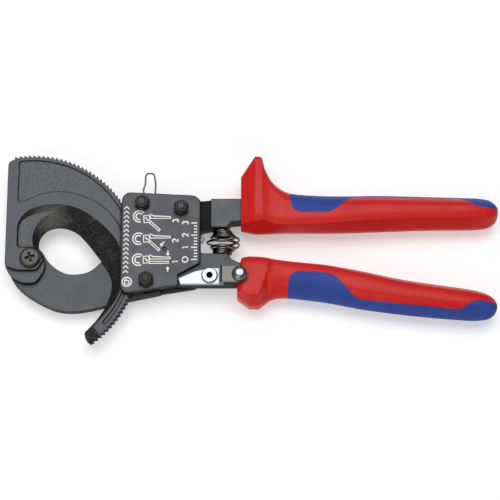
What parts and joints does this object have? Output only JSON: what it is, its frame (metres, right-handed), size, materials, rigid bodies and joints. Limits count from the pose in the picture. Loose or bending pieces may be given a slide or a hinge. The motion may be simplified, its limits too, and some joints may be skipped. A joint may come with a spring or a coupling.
{
  "type": "ratchet cable cutter",
  "caption": "Two-handed ratchet cable cutter with a toothed swinging blade, a hooked fixed blade, a plated housing, a closing catch and red and blue hand grips.",
  "frame": {"origin": "centre of the bounding box, on the plane that the tool's back lies on", "axes": "+X from the blade's nose to the grip ends, +Y towards the fixed grip, +Z out of the front face"},
  "size_m": [0.251, 0.099, 0.0269],
  "materials": {
    "burnished_steel": "satin burnished",
    "coated_plate": "satin coated",
    "black_fastener": "black oxide",
    "black_nylon": "matte",
    "hardened_steel": "ground",
    "plain_screw": "satin",
    "spring_steel": "oiled",
    "spring_wire": "drawn",
    "bright_plate": "nickel plated",
    "bright_chrome": "polished",
    "red_grip": "satin moulded",
    "blue_grip": "soft textured"
  },
  "bodies": {
    "head": {"fixed_blade": "burnished_steel", "front_plate": "coated_plate", "rear_plate": "coated_plate", "plate_bolts": "black_fastener", "lock_nuts": "black_fastener", "nut_rings": "black_nylon", "holding_pawl_bush": "hardened_steel", "handle_hinge_bush": "hardened_steel", "pivot_screw": "plain_screw", "pivot_bush": "hardened_steel", "pivot_nut": "hardened_steel", "fixed_arm": "burnished_steel", "fixed_grip": "red_grip", "fixed_grip_inlay": "blue_grip", "upper_spring_seat": "black_fastener", "return_spring": "spring_steel", "linkage_spring": "spring_wire"},
    "cutting_blade": {"moving_blade": "burnished_steel"},
    "moving_handle": {"moving_arm": "burnished_steel", "moving_grip": "red_grip", "moving_grip_inlay": "blue_grip", "lower_spring_seat": "black_fastener", "drive_pawl_pin": "hardened_steel", "catch_rivet": "bright_chrome", "catch_washer": "spring_wire"},
    "catch": {"catch_lever": "bright_plate", "catch_knob": "bright_chrome"},
    "drive_pawl": {"drive_pawl": "hardened_steel"},
    "holding_pawl": {"holding_pawl": "hardened_steel", "release_loop": "spring_wire"}
  },
  "joints": [
    {"name": "blade_swing", "type": "hinge", "parent": "head", "child": "cutting_blade", "pos_m": [-0.1127, -0.0053, 0.0105], "axis": [0, 0, 1], "range_deg": [-30, 120]},
    {"name": "handle_squeeze", "type": "hinge", "parent": "head", "child": "moving_handle", "pos_m": [-0.0537, -0.0176, 0.0105], "axis": [0, 0, 1], "range_deg": [-26, 0], "deforming": ["return_spring"]},
    {"name": "catch_turn", "type": "hinge", "parent": "moving_handle", "child": "catch", "pos_m": [-0.0217, -0.0152, 0.0105], "axis": [0, 0, 1], "range_deg": [0, 30]},
    {"name": "drive_pawl_tilt", "type": "hinge", "parent": "moving_handle", "child": "drive_pawl", "pos_m": [-0.0545, -0.0035, 0.0105], "axis": [0, 0, 1], "range_deg": [-13.5, 0.5]},
    {"name": "holding_pawl_tilt", "type": "hinge", "parent": "head", "child": "holding_pawl", "pos_m": [-0.0561, 0.0226, 0.0105], "axis": [0, 0, 1], "range_deg": [-8, 10]}
  ],
  "couplings": [
    {"joint": "drive_pawl_tilt", "follows": "handle_squeeze", "ratio": 0.5}
  ]
}
